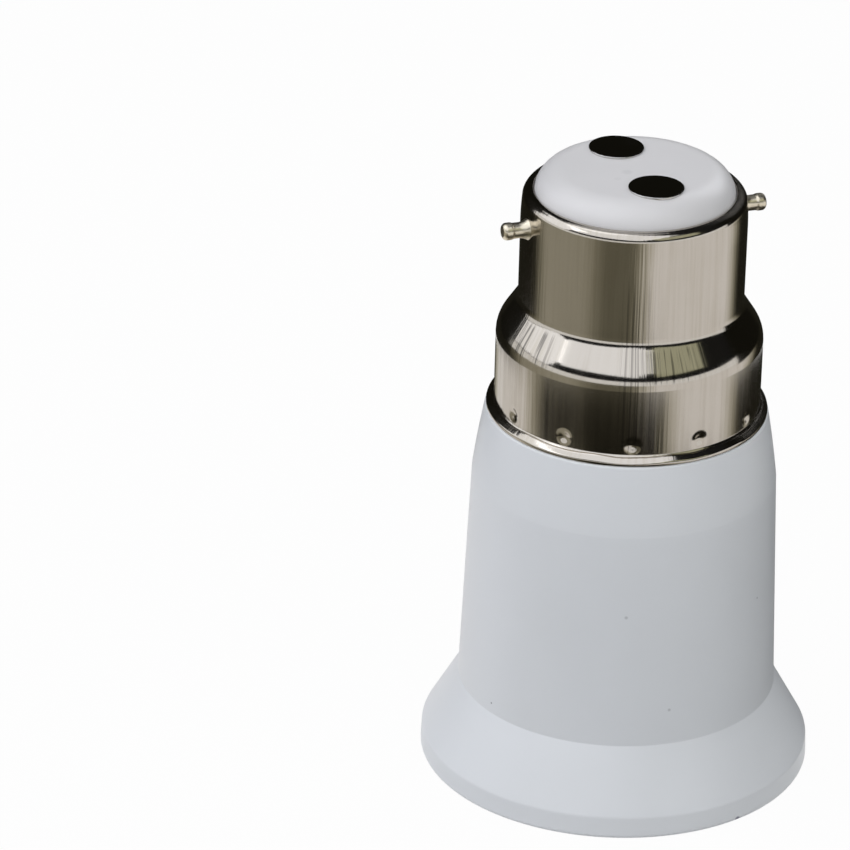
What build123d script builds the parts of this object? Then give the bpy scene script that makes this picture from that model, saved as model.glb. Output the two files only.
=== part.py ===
"""Lamp socket adapter: a bayonet cap on top, a screw lamp holder in the skirt below.

Millimetres, +Z up, origin at the centre of the skirt's rim, which is what it stands on.
The bayonet pins lie along X and the two contact plates along Y.
"""
import os

from build123d import *

os.makedirs("parts", exist_ok=True)

# Sheet and fits
sheet = 0.4  # drawn metal of both shells
slip_gap = 0.1  # radial gap where one piece slips into another
hole_gap = 0.05  # radial gap round a shank in its hole

# Screw shell for the 27 mm Edison thread: its widest bore, then a plain stretch as wide as the crests
thread_radius = 13.3
thread_depth = 1.05
thread_length = 12.2
plain_length = 7.1
cutout_width = 6.6  # opening in the base round the centre contact
cutout_length = 11.0

# Housing, from the rim of the skirt upwards
shell_recess = 10.1  # rim of the skirt to the mouth of the screw shell
bore_gap = 0.45  # the screw shell's thread stands clear of the moulded bore
body_wall = 1.65
body_taper = 0.7  # radius lost from the crease to the foot of the dome
flare_height = 8.46
flare_reach = 3.6  # how far the rim stands out past the barrel
lip_height = 2.3
lip_width = 1.9
funnel_depth = 8.0
partition_thickness = 2.6
dome_height = 9.0
shoulder_rise = 5.6  # floor of the wire chamber to the ledge under the cap
ledge_margin = 0.07
chamber_width = 8.0

# Bayonet cap shell: 22 mm barrel on a 26 mm collar
barrel_radius = 11.0
barrel_height = 11.7
shoulder_height = 2.8
collar_radius = 13.05
collar_height = 8.6
flange_reach = 0.75
rim_chamfer = 0.5
rim_turn = 1.15  # how far the rim turns in from the outside of the barrel
neck_headroom = 1.1
stake_gap = 0.45  # the neck stands clear of the collar by the depth of the stake dimples

# Bayonet pins
pin_radius = 1.0
pin_reach = 2.5  # beyond the barrel
pin_chamfer = 0.5
pin_drop = 2.9  # below the top of the rolled rim
pin_head_radius = 1.5
pin_head_thickness = 0.4
pin_head_gap = 0.02  # head of a pin to the bore of the barrel, at the head's edge
key_gap = 0.2  # slots of the insulator round the heads of the pins

# Contact insulator and its plates
plate_proud = 2.2  # above the rolled rim
plate_chamfer = 1.7
plate_thickness = 5.0
wireway_margin = 0.5  # wire chamber beyond the rivets' heads
contact_offset = 5.0
contact_radius = 2.7
contact_proud = 0.25
shank_radius = 1.3
shank_length = 5.9

# Rivets, centre contact, tags and leads
rivet_radius = 0.9
rivet_head_radius = 1.5
rivet_head_thickness = 0.5
rivet_circle = 8.0
leaf_width = 4.4
leaf_thickness = 0.4
leaf_drop = 3.0
leaf_bend = 1.0
leaf_inset = 0.6  # heel of the leaf from the end of the cutout
leaf_reach = 2.6  # past the axis to the contact crest
leaf_tip = 1.2
leaf_curl = 0.7
leaf_clear = 0.4  # flat of the leaf past the rivet's head
tag_thickness = 0.4
lead_radius = 0.8
lead_room = 0.2

# Radii and lengths that follow
crest_radius = thread_radius - thread_depth
shell_bore = thread_radius + sheet + bore_gap
plain_bore = crest_radius + sheet + slip_gap
body_radius = shell_bore + body_wall
dome_radius = body_radius - body_taper
rim_radius = body_radius + flare_reach
flange_radius = collar_radius + flange_reach
ledge_radius = flange_radius + ledge_margin
collar_bore = collar_radius - sheet
barrel_bore = barrel_radius - sheet
rim_bore = barrel_radius - rim_turn
neck_radius = collar_bore - stake_gap
insulator_radius = barrel_bore - slip_gap
chamber_length = 2 * (rivet_circle + rivet_head_radius + wireway_margin)
wireway_length = 2 * (contact_offset + shank_radius + wireway_margin)
pin_head_seat = (barrel_bore**2 - pin_head_radius**2) ** 0.5 - pin_head_gap
centre_rivet_offset = contact_offset - lead_radius - lead_room - rivet_head_radius
leaf_heel = cutout_length / 2 - leaf_inset
leaf_root = centre_rivet_offset - rivet_head_radius - leaf_clear

# Heights that follow
plain_start = shell_recess + thread_length
base_inside = plain_start + plain_length
partition_bottom = base_inside + sheet
chamber_floor = partition_bottom + partition_thickness
tag_top = chamber_floor + tag_thickness
ledge_height = chamber_floor + shoulder_rise
dome_start = ledge_height - dome_height
collar_top = ledge_height + collar_height
neck_top = collar_top - neck_headroom
barrel_foot = collar_top + shoulder_height
rim_top = barrel_foot + barrel_height
rim_underside = rim_top - sheet
pin_height = rim_top - pin_drop
plate_top = rim_top + plate_proud
plate_underside = plate_top - plate_thickness
shank_foot = plate_top - shank_length

# Housing
with BuildPart() as housing:
    with BuildSketch(Plane.XZ):
        with BuildLine():
            Polyline(
                (rim_radius - lip_width, 0),
                (rim_radius, 0),
                (rim_radius, lip_height),
                (body_radius, flare_height),
            )
            side = Bezier((body_radius, flare_height), (dome_radius, dome_start))
            TangentArc((dome_radius, dome_start), (ledge_radius, ledge_height), tangent=side % 1)
            Polyline(
                (ledge_radius, ledge_height),
                (neck_radius, ledge_height),
                (neck_radius, neck_top),
                (0, neck_top),
                (0, partition_bottom),
                (plain_bore, partition_bottom),
                (plain_bore, plain_start),
                (shell_bore, plain_start),
                (shell_bore, funnel_depth),
                (rim_radius - lip_width, 0),
            )
        make_face()
    revolve(axis=Axis.Z)
    with BuildSketch(Plane.XY.offset(neck_top)):
        Rectangle(chamber_width, chamber_length)
    extrude(amount=chamber_floor - neck_top, mode=Mode.SUBTRACT)
    with Locations((0, -rivet_circle, 0), (0, centre_rivet_offset, 0)):
        Cylinder(
            rivet_radius + hole_gap,
            chamber_floor,
            align=(Align.CENTER, Align.CENTER, Align.MIN),
            mode=Mode.SUBTRACT,
        )
housing.part.label = "housing"
export_step(housing.part, "parts/housing.step")

# Bayonet cap shell: drawn sheet with a foot flange, a collar, a shoulder, a barrel and a rim turned in
with BuildPart() as bayonet_cap_shell:
    with BuildSketch(Plane.XZ):
        with BuildLine():
            Polyline(
                (collar_bore, ledge_height),
                (flange_radius, ledge_height),
                (flange_radius, ledge_height + sheet),
                (collar_radius, ledge_height + sheet + flange_reach),
                (collar_radius, collar_top),
                (barrel_radius, barrel_foot),
                (barrel_radius, rim_top - rim_chamfer),
                (barrel_radius - rim_chamfer, rim_top),
                (rim_bore, rim_top),
                (rim_bore, rim_underside),
                (barrel_bore, rim_underside),
                (barrel_bore, barrel_foot - sheet / 2),
                (collar_bore, collar_top - sheet / 2),
                close=True,
            )
        make_face()
    revolve(axis=Axis.Z)
    with Locations((0, 0, pin_height)):
        Cylinder(pin_radius, 3 * barrel_radius, rotation=(0, 90, 0), mode=Mode.SUBTRACT)
bayonet_cap_shell.part.label = "bayonet_cap_shell"
export_step(bayonet_cap_shell.part, "parts/bayonet_cap_shell.step")

# Bayonet pins: a head inside the barrel, a shank through it and a broken end
for side, name in ((-1, "bayonet_pin_left"), (1, "bayonet_pin_right")):
    pin_axis = Plane(origin=(0, 0, pin_height), x_dir=(side, 0, 0), z_dir=(0, -side, 0))
    with BuildPart() as bayonet_pin:
        with BuildSketch(pin_axis):
            with BuildLine():
                Polyline(
                    (pin_head_seat - pin_head_thickness, 0),
                    (pin_head_seat - pin_head_thickness, pin_head_radius),
                    (pin_head_seat, pin_head_radius),
                    (pin_head_seat, pin_radius),
                    (barrel_radius + pin_reach - pin_chamfer, pin_radius),
                    (barrel_radius + pin_reach, pin_radius - pin_chamfer),
                    (barrel_radius + pin_reach, 0),
                    close=True,
                )
            make_face()
        revolve(axis=Axis((0, 0, pin_height), (1, 0, 0)))
    bayonet_pin.part.label = name
    export_step(bayonet_pin.part, f"parts/{name}.step")

# Contact insulator: a plug that stands on the neck and is held down by the rim turned in over it
with BuildPart() as contact_insulator:
    with BuildSketch(Plane.XZ):
        with BuildLine():
            Polyline(
                (0, neck_top),
                (insulator_radius, neck_top),
                (insulator_radius, rim_underside),
                (rim_bore - slip_gap, rim_underside),
                (rim_bore - slip_gap, plate_top - plate_chamfer),
                (rim_bore - slip_gap - plate_chamfer, plate_top),
                (0, plate_top),
                close=True,
            )
        make_face()
    revolve(axis=Axis.Z)
    with BuildSketch(Plane.XY.offset(neck_top)):
        Rectangle(chamber_width, wireway_length)
    extrude(amount=plate_underside - neck_top, mode=Mode.SUBTRACT)
    with Locations((0, contact_offset, plate_top), (0, -contact_offset, plate_top)):
        Hole(shank_radius + hole_gap)
    with BuildSketch(Plane.XY.offset(neck_top)):
        with Locations((insulator_radius, 0), (-insulator_radius, 0)):
            Rectangle(
                2 * (insulator_radius - pin_head_seat + pin_head_thickness + key_gap),
                2 * (pin_head_radius + key_gap),
            )
    extrude(amount=pin_height + pin_head_radius + key_gap - neck_top, mode=Mode.SUBTRACT)
contact_insulator.part.label = "contact_insulator"
export_step(contact_insulator.part, "parts/contact_insulator.step")

# Contact plates: a flat disc on a shank through the insulator
for side, name in ((-1, "contact_plate_front"), (1, "contact_plate_rear")):
    with BuildPart() as contact_plate:
        with BuildSketch(Plane.XY.offset(plate_top)):
            with Locations((0, side * contact_offset)):
                Circle(contact_radius)
        extrude(amount=contact_proud)
        with BuildSketch(Plane.XY.offset(plate_top)):
            with Locations((0, side * contact_offset)):
                Circle(shank_radius)
        extrude(amount=-shank_length)
    contact_plate.part.label = name
    export_step(contact_plate.part, f"parts/{name}.step")

# Screw shell: a drawn brass cup, open below, stepped in above the thread, with a cutout in its base
with BuildPart() as screw_shell:
    with BuildSketch(Plane.XZ):
        with BuildLine():
            Polyline(
                (thread_radius, shell_recess),
                (thread_radius + sheet, shell_recess),
                (thread_radius + sheet, plain_start),
                (crest_radius + sheet, plain_start),
                (crest_radius + sheet, partition_bottom),
                (0, partition_bottom),
                (0, base_inside),
                (crest_radius, base_inside),
                (crest_radius, plain_start - sheet),
                (thread_radius, plain_start - sheet),
                close=True,
            )
        make_face()
    revolve(axis=Axis.Z)
    with BuildSketch(Plane.XY.offset(base_inside)):
        Rectangle(cutout_width, cutout_length)
        with Locations((0, -rivet_circle)):
            Circle(rivet_radius + hole_gap)
    extrude(amount=sheet, mode=Mode.SUBTRACT)
screw_shell.part.label = "screw_shell"
export_step(screw_shell.part, "parts/screw_shell.step")


def rivet_outline(head_seat, upset_seat):
    """Gives half a rivet's outline: its head below, its shank, and the end that is upset above."""
    return [
        (0, head_seat - rivet_head_thickness),
        (rivet_head_radius, head_seat - rivet_head_thickness),
        (rivet_head_radius, head_seat),
        (rivet_radius, head_seat),
        (rivet_radius, upset_seat),
        (rivet_head_radius, upset_seat),
        (rivet_head_radius, upset_seat + rivet_head_thickness),
        (0, upset_seat + rivet_head_thickness),
    ]


# Shell rivet: holds the screw shell to the partition and clamps the neutral tag
with BuildPart() as shell_rivet:
    with BuildSketch(Plane.XZ.offset(rivet_circle)):
        with BuildLine():
            Polyline(*rivet_outline(base_inside, tag_top), close=True)
        make_face()
    revolve(axis=Axis((0, -rivet_circle, 0), (0, 0, 1)))
shell_rivet.part.label = "shell_rivet"
export_step(shell_rivet.part, "parts/shell_rivet.step")

# Centre contact: a sprung strip, flat on the partition, then bent down across the axis with a round end
with BuildPart() as centre_contact:
    with BuildSketch(Plane.YZ):
        with BuildLine() as leaf_line:
            FilletPolyline(
                (leaf_heel, partition_bottom - leaf_thickness / 2),
                (leaf_root, partition_bottom - leaf_thickness / 2),
                (-leaf_reach, partition_bottom - leaf_drop),
                (-leaf_reach - leaf_tip, partition_bottom - leaf_drop + leaf_curl),
                radius=leaf_bend,
            )
        trace(leaf_line.line, line_width=leaf_thickness)
    extrude(amount=leaf_width / 2, both=True)
    with Locations((0, centre_rivet_offset, partition_bottom)):
        Cylinder(rivet_radius + hole_gap, 2 * leaf_thickness, mode=Mode.SUBTRACT)
centre_contact.part.label = "centre_contact"
export_step(centre_contact.part, "parts/centre_contact.step")

# Centre rivet: holds the leaf under the partition and clamps the live tag
with BuildPart() as centre_rivet:
    with BuildSketch(Plane.XZ.offset(-centre_rivet_offset)):
        with BuildLine():
            Polyline(*rivet_outline(partition_bottom - leaf_thickness, tag_top), close=True)
        make_face()
    revolve(axis=Axis((0, centre_rivet_offset, 0), (0, 0, 1)))
centre_rivet.part.label = "centre_rivet"
export_step(centre_rivet.part, "parts/centre_rivet.step")

# Solder tags on the floor of the wire chamber, from a rivet to the foot of its lead
for side, name, rivet_at in ((1, "live_tag", centre_rivet_offset), (-1, "neutral_tag", rivet_circle)):
    with BuildPart() as tag:
        with BuildSketch(Plane.XY.offset(chamber_floor)):
            with Locations((0, side * (rivet_at + contact_offset) / 2)):
                Rectangle(2 * rivet_head_radius, abs(contact_offset - rivet_at) + 2 * rivet_head_radius)
            with Locations((0, side * rivet_at)):
                Circle(rivet_radius + hole_gap, mode=Mode.SUBTRACT)
        extrude(amount=tag_thickness)
    tag.part.label = name
    export_step(tag.part, f"parts/{name}.step")

# Leads: an insulated wire from each tag up to the shank of its contact plate
for side, name in ((1, "live_lead"), (-1, "neutral_lead")):
    with BuildPart() as lead:
        with BuildSketch(Plane.XY.offset(tag_top)):
            with Locations((0, side * contact_offset)):
                Circle(lead_radius)
        extrude(amount=shank_foot - tag_top)
    lead.part.label = name
    export_step(lead.part, f"parts/{name}.step")
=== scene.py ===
"""Lamp socket adapter: a bayonet cap above, a screw lamp holder inside the flared skirt below.

Lengths are millimetres in the classes and metres in the meshes. +Z is up, the bayonet pins lie along X
and the two contact plates along Y.
"""
import logging
import math
from dataclasses import dataclass
from enum import Enum

import bmesh
import bpy
from mathutils import Matrix, Vector


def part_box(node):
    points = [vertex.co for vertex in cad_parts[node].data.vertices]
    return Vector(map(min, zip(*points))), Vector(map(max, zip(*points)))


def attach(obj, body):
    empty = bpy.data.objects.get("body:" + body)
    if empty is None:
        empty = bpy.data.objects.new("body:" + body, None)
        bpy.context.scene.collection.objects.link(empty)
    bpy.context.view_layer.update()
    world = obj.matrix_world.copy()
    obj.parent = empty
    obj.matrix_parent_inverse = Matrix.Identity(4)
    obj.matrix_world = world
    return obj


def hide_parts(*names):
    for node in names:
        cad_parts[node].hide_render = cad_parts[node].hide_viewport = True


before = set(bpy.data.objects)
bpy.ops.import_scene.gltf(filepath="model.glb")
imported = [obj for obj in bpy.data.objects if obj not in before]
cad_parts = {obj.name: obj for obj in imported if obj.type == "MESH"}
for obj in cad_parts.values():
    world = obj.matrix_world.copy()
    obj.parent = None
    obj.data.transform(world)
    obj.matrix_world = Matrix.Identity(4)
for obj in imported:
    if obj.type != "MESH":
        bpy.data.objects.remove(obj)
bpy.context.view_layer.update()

LOG = logging.getLogger("socket_adapter")
MM = 0.001
Colour = tuple[float, float, float]


def node_span(node: str) -> tuple[float, float, float]:
    """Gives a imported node's size as a turned form.

    Args:
        node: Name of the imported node.

    Returns:
        Its largest radius about the axis, its foot and its top, in millimetres.
    """
    low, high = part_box(node)
    return high.x / MM, low.z / MM, high.z / MM


def smooth_step(low: float, high: float, value: float) -> float:
    """Gives the soft rise from 0 at low to 1 at high.

    Args:
        low: Where the rise starts.
        high: Where it ends.
        value: Where it is read.

    Returns:
        The height of the rise, from 0 to 1.
    """
    share = min(max((value - low) / (high - low), 0.0), 1.0)
    return share * share * (3 - 2 * share)


def verts_of(geometry: list) -> list[bmesh.types.BMVert]:
    """Gives the vertices among the parts of a mesh."""
    return [part for part in geometry if isinstance(part, bmesh.types.BMVert)]


def push_out(vert: bmesh.types.BMVert, by: float) -> None:
    """Moves a vertex away from the axis.

    Args:
        vert: The vertex.
        by: How far, in millimetres.
    """
    factor = 1 + by * MM / math.hypot(vert.co.x, vert.co.y)
    vert.co.x *= factor
    vert.co.y *= factor


def add_object(name: str, data: bpy.types.ID) -> bpy.types.Object:
    """Adds an object to the scene.

    Args:
        name: Its name.
        data: Its mesh, light or camera.

    Returns:
        The object.
    """
    made = bpy.data.objects.new(name, data)
    bpy.context.scene.collection.objects.link(made)
    return made


def mesh_object(name: str, mesh: bmesh.types.BMesh) -> bpy.types.Object:
    """Adds an object made of a mesh.

    Args:
        name: Its name.
        mesh: Its shape, which is freed.

    Returns:
        The object.
    """
    data = bpy.data.meshes.new(name)
    mesh.to_mesh(data)
    mesh.free()
    return add_object(name, data)


@dataclass(frozen=True)
class Corner:
    """One corner of an outline: its place in millimetres and the radius that rounds it."""

    across: float
    up: float
    round: float = 0.0


class Outline:
    """A plane outline made of corners, with its round stretches worked out."""

    ARC_STEP = math.radians(9)
    HOLD = 0.06  # straight stretch that keeps a rounding's shading to itself
    HOLD_SHARE = 0.4  # most of the room left that the stretch may take
    HOLD_LEAST = 0.01  # shorter stretches are left out
    SHARED, ALONE = 0.49, 0.99  # share of a side that a rounding may take, beside another or by itself

    def __init__(self, closed: bool = True) -> None:
        """Starts an empty outline.

        Args:
            closed: Whether the last corner joins the first.
        """
        self.closed = closed
        self.corners: list[Corner] = []

    def to(self, across: float, up: float, round: float = 0.0) -> "Outline":
        """Adds a corner.

        Args:
            across: Distance from the axis.
            up: Height.
            round: Radius that rounds the corner.

        Returns:
            The outline itself.
        """
        self.corners.append(Corner(across, up, round))
        return self

    def bow_to(
        self, across: float, up: float, bulge: float, round: float = 0.0, steps: int = 16
    ) -> "Outline":
        """Adds a shallow arc from the last corner to a new one.

        Args:
            across: Distance of the new corner from the axis.
            up: Height of the new corner.
            bulge: How far the arc stands out from its chord, to the left of the way it runs.
            round: Radius that rounds the new corner.
            steps: Straight pieces of the arc.

        Returns:
            The outline itself.
        """
        start = Vector((self.corners[-1].across, self.corners[-1].up))
        end = Vector((across, up))
        chord = end - start
        out = Vector((-chord.y, chord.x)).normalized() * math.copysign(1.0, bulge)
        depth = abs(bulge)
        half = chord.length / 2
        radius = (half * half + depth * depth) / (2 * depth)
        for step in range(1, steps):
            along = chord.length * step / steps
            rise = math.sqrt(radius * radius - (along - half) ** 2) - (radius - depth)
            point = start + chord * (step / steps) + out * rise
            self.to(point.x, point.y)
        return self.to(across, up, round)

    def points(self) -> list[Vector]:
        """Gives the outline's points in order.

        Returns:
            Points in millimetres, with across as x and up as y.
        """
        found: list[Vector] = []
        count = len(self.corners)
        for index, corner in enumerate(self.corners):
            at = Vector((corner.across, corner.up))
            inner = self.closed or 0 < index < count - 1
            if corner.round and inner:
                found += self._rounded(self.corners[index - 1], corner, self.corners[(index + 1) % count])
            else:
                found.append(at)
        return found

    def _rounded(self, before: Corner, corner: Corner, after: Corner) -> list[Vector]:
        """Gives the points of a rounded corner.

        Args:
            before: The corner before it.
            corner: The corner, whose rounding is limited by the room on both sides.
            after: The corner after it.

        Returns:
            Points along the arc, with a holding point at each end.
        """
        at = Vector((corner.across, corner.up))
        back = Vector((before.across, before.up)) - at
        on = Vector((after.across, after.up)) - at
        sides = ((back, before), (on, after))
        room = min(side.length * (self.SHARED if end.round else self.ALONE) for side, end in sides)
        back.normalize()
        on.normalize()
        half = back.angle(on) / 2
        reach = min(corner.round / math.tan(half), room)
        radius = reach * math.tan(half)
        centre = at + (back + on).normalized() * (radius / math.sin(half))
        start, end = at + back * reach - centre, at + on * reach - centre
        turn = start.angle_signed(end)
        steps = max(3, math.ceil(abs(turn) / self.ARC_STEP))
        arc = [centre + Matrix.Rotation(-turn * step / steps, 2) @ start for step in range(steps + 1)]
        hold = min(self.HOLD, self.HOLD_SHARE * (room - reach))
        if hold > self.HOLD_LEAST:
            arc = [arc[0] + back * hold] + arc + [arc[-1] + on * hold]
        return arc


class Turned:
    """A mesh that is turned about the Z axis from an outline, one sector at a time."""

    SECTORS = 12
    JOIN = 1e-7  # metres within which vertices are one
    SLIVER = 1e-8  # metres below which an edge is dropped
    NEAR = 1e-3  # millimetres within which an edge is on a ring

    def __init__(self, outline: Outline, steps: int) -> None:
        """Turns the outline.

        Args:
            outline: Half section of the piece.
            steps: Straight pieces of a full turn, a multiple of the sectors.
        """
        self.mesh = bmesh.new()
        points = outline.points()
        row = [self.mesh.verts.new((p.x * MM, 0, p.y * MM)) for p in points]
        ends = zip(row, row[1:] + row[:1]) if outline.closed else zip(row, row[1:])
        edges = [self.mesh.edges.new(pair) for pair in ends]
        arc = math.tau / self.SECTORS
        around = {"cent": (0, 0, 0), "axis": (0, 0, 1), "angle": arc}
        bmesh.ops.spin(self.mesh, geom=row + edges, steps=steps // self.SECTORS, **around)
        sector = self.mesh.verts[:] + self.mesh.edges[:] + self.mesh.faces[:]
        for turn in range(1, self.SECTORS):
            copy = bmesh.ops.duplicate(self.mesh, geom=sector)["geom"]
            bmesh.ops.rotate(self.mesh, verts=verts_of(copy), matrix=Matrix.Rotation(arc * turn, 3, "Z"))
        self.clean()

    def clean(self) -> None:
        """Closes the poles and seams and turns every face outwards."""
        bmesh.ops.remove_doubles(self.mesh, verts=self.mesh.verts, dist=self.JOIN)
        bmesh.ops.dissolve_degenerate(self.mesh, edges=self.mesh.edges, dist=self.SLIVER)
        bmesh.ops.recalc_face_normals(self.mesh, faces=self.mesh.faces)

    def circle(self, radius: float, height: float) -> list[bmesh.types.BMEdge]:
        """Finds the open edges of one ring.

        Args:
            radius: Radius of the ring.
            height: Its height.

        Returns:
            The ring's edges that have one face only.
        """

        def on_ring(vert: bmesh.types.BMVert) -> bool:
            """Tells whether a vertex is on the ring."""
            reach = math.hypot(vert.co.x, vert.co.y) / MM
            return abs(vert.co.z / MM - height) < self.NEAR and abs(reach - radius) < self.NEAR

        return [edge for edge in self.mesh.edges if edge.is_boundary and all(map(on_ring, edge.verts))]

    def window(self, width: float, length: float, height: float) -> list[bmesh.types.BMEdge]:
        """Adds the edges of a level rectangle.

        Args:
            width: Size along X.
            length: Size along Y.
            height: Its height.

        Returns:
            Its four edges.
        """
        half, reach = width / 2 * MM, length / 2 * MM
        places = [(-half, -reach), (half, -reach), (half, reach), (-half, reach)]
        verts = [self.mesh.verts.new((x, y, height * MM)) for x, y in places]
        return [self.mesh.edges.new(pair) for pair in zip(verts, verts[1:] + verts[:1])]

    def bridge(self, one: list[bmesh.types.BMEdge], other: list[bmesh.types.BMEdge]) -> None:
        """Joins two loops of edges with faces.

        Args:
            one: Edges of the first loop.
            other: Edges of the second loop.
        """
        bmesh.ops.bridge_loops(self.mesh, edges=one + other)

    def pocket(self, opening: float, width: float, length: float, mouth: float, end: float) -> None:
        """Sinks a rectangular pocket through the open ring of a level face.

        Args:
            opening: Radius of the ring.
            width: Size along X.
            length: Size along Y.
            mouth: Height of the face.
            end: Height of the pocket's end.
        """
        edge = self.window(width, length, mouth)
        self.bridge(self.circle(opening, mouth), edge)
        far = verts_of(bmesh.ops.extrude_edge_only(self.mesh, edges=edge)["geom"])
        bmesh.ops.translate(self.mesh, verts=far, vec=(0, 0, (end - mouth) * MM))
        bmesh.ops.contextual_create(self.mesh, geom=far)
        self.clean()

    def place(self, matrix: Matrix) -> None:
        """Moves the mesh to where a matrix puts it."""
        bmesh.ops.transform(self.mesh, matrix=matrix, verts=self.mesh.verts)


def make_piece(
    name: str, mesh: bmesh.types.BMesh, finish: "Finish", slot: str, *nodes: str
) -> bpy.types.Object:
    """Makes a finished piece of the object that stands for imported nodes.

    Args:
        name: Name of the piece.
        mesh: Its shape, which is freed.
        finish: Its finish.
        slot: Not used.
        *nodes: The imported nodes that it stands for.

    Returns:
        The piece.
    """
    for face in mesh.faces:
        face.smooth = True
    piece = mesh_object(name, mesh)
    piece.data.materials.append(finish.material())
    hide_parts(*nodes)
    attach(piece, "root")
    LOG.info("%s: %d faces", name, len(piece.data.polygons))
    return piece


class Signal:
    """A shader socket that takes part in Python expressions."""

    def __init__(self, board: "Board", socket: bpy.types.NodeSocket) -> None:
        """Wraps a socket.

        Args:
            board: The board that the socket is on.
            socket: An output socket.
        """
        self.board = board
        self.socket = socket

    def _with(self, operation: str, one: "Signal | float", other: "Signal | float") -> "Signal":
        """Adds one Math node.

        Args:
            operation: Its operation.
            one: First value.
            other: Second value.

        Returns:
            Its result.
        """
        return self.board.add("ShaderNodeMath", {"operation": operation}, {0: one, 1: other})

    def __add__(self, other: "Signal | float") -> "Signal":
        """Adds a value."""
        return self._with("ADD", self, other)

    __radd__ = __add__

    def __sub__(self, other: "Signal | float") -> "Signal":
        """Takes a value away."""
        return self._with("SUBTRACT", self, other)

    def __rsub__(self, other: float) -> "Signal":
        """Takes itself from a value."""
        return self._with("SUBTRACT", other, self)

    def __mul__(self, other: "Signal | float") -> "Signal":
        """Multiplies by a value."""
        return self._with("MULTIPLY", self, other)

    __rmul__ = __mul__

    def most(self, other: "Signal | float") -> "Signal":
        """Gives the larger of two values."""
        return self._with("MAXIMUM", self, other)

    def rise(self, low: float, high: float) -> "Signal":
        """Gives a soft rise from 0 at low to 1 at high.

        Args:
            low: Where the rise starts.
            high: Where it ends.

        Returns:
            The rise.
        """
        inputs = {"Value": self, "From Min": low, "From Max": high}
        return self.board.add("ShaderNodeMapRange", {"interpolation_type": "SMOOTHSTEP"}, inputs)


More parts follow.
